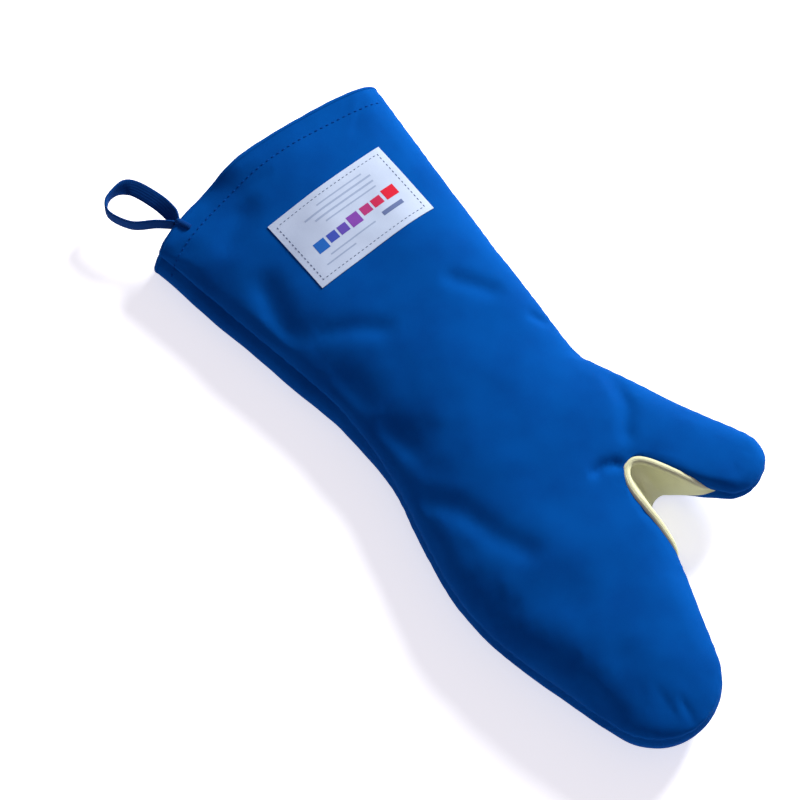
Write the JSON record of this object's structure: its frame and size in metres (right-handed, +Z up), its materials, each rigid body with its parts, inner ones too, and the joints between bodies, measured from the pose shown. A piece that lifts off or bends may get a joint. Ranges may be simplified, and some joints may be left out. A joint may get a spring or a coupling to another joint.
{
  "type": "cryogenic glove",
  "caption": "Long insulated mitt with a thumb, a shared finger pocket, a web guard in the fork and a hanging loop at the cuff, lying palm down.",
  "frame": {"origin": "under the middle of the whole mitt, on the surface it lies on palm down", "axes": "+X towards the fingertips, +Y towards the thumb side, +Z up through the back of the hand"},
  "size_m": [0.4878, 0.2314, 0.0449],
  "materials": {
    "shell_cloth": "matte twill",
    "barrier_film": "satin",
    "insulation_batt": "matte, lofty",
    "lining_fleece": "matte, brushed",
    "web_guard_cloth": "matte, close weave",
    "label_cloth": "matte",
    "label_thread": "matte",
    "shell_thread": "matte",
    "loop_tape": "matte, ribbed"
  },
  "bodies": {
    "gauntlet": {"barrier_gauntlet": "barrier_film", "insulation_back_gauntlet": "insulation_batt", "insulation_palm_gauntlet": "insulation_batt", "lining_back_gauntlet": "lining_fleece", "lining_palm_gauntlet": "lining_fleece", "shell_back_gauntlet": "shell_cloth", "shell_palm_gauntlet": "shell_cloth", "barrier_wrist_back_fold": "barrier_film", "barrier_wrist_fold": "barrier_film", "insulation_wrist_back_fold": "insulation_batt", "insulation_wrist_fold": "insulation_batt", "lining_wrist_back_fold": "lining_fleece", "lining_wrist_fold": "lining_fleece", "shell_wrist_back_fold": "shell_cloth", "shell_wrist_fold": "shell_cloth", "cuff_hem": "shell_cloth", "cuff_stitching": "shell_thread", "label": "label_cloth", "label_stitching": "label_thread", "hang_loop_tack": "loop_tape"},
    "hand": {"barrier_hand": "barrier_film", "insulation_back_hand": "insulation_batt", "insulation_palm_hand": "insulation_batt", "lining_back_hand": "lining_fleece", "lining_palm_hand": "lining_fleece", "shell_back_hand": "shell_cloth", "shell_palm_hand": "shell_cloth", "barrier_finger_fold": "barrier_film", "insulation_finger_fold": "insulation_batt", "lining_finger_fold": "lining_fleece", "shell_finger_fold": "shell_cloth", "barrier_thumb_fold": "barrier_film", "insulation_thumb_fold": "insulation_batt", "lining_thumb_fold": "lining_fleece", "shell_thumb_fold": "shell_cloth", "web_guard_fold": "web_guard_cloth", "web_guard_finger_wing": "web_guard_cloth"},
    "fingers": {"barrier_fingers": "barrier_film", "insulation_back_fingers": "insulation_batt", "insulation_palm_fingers": "insulation_batt", "lining_back_fingers": "lining_fleece", "lining_palm_fingers": "lining_fleece", "shell_back_fingers": "shell_cloth", "shell_palm_fingers": "shell_cloth"},
    "thumb": {"barrier_thumb": "barrier_film", "insulation_back_thumb": "insulation_batt", "insulation_palm_thumb": "insulation_batt", "lining_back_thumb": "lining_fleece", "lining_palm_thumb": "lining_fleece", "shell_back_thumb": "shell_cloth", "shell_palm_thumb": "shell_cloth", "web_guard_thumb_wing": "web_guard_cloth"},
    "hang_loop": {"hang_loop": "loop_tape"}
  },
  "joints": [
    {"name": "wrist_bend", "type": "hinge", "parent": "gauntlet", "child": "hand", "pos_m": [-0.009, -0.009, 0.026], "axis": [0, 1, 0], "range_deg": [-30, 30], "deforming": ["barrier_wrist_back_fold", "barrier_wrist_fold", "insulation_wrist_back_fold", "insulation_wrist_fold", "lining_wrist_back_fold", "lining_wrist_fold", "shell_wrist_back_fold", "shell_wrist_fold"]},
    {"name": "finger_curl", "type": "hinge", "parent": "hand", "child": "fingers", "pos_m": [0.161, -0.025, 0.026], "axis": [0, 1, 0], "range_deg": [0, 70], "deforming": ["barrier_finger_fold", "insulation_finger_fold", "lining_finger_fold", "shell_finger_fold"]},
    {"name": "thumb_fold", "type": "hinge", "parent": "hand", "child": "thumb", "pos_m": [0.061, 0.067, 0.026], "axis": [-0.9751, 0.2215, 0], "range_deg": [0, 45], "deforming": ["barrier_thumb_fold", "insulation_thumb_fold", "lining_thumb_fold", "shell_thumb_fold", "web_guard_fold"]},
    {"name": "loop_swing", "type": "hinge", "parent": "gauntlet", "child": "hang_loop", "pos_m": [-0.20308, -0.09247, 0.026], "axis": [0, 0, 1], "range_deg": [-45, 45]}
  ]
}
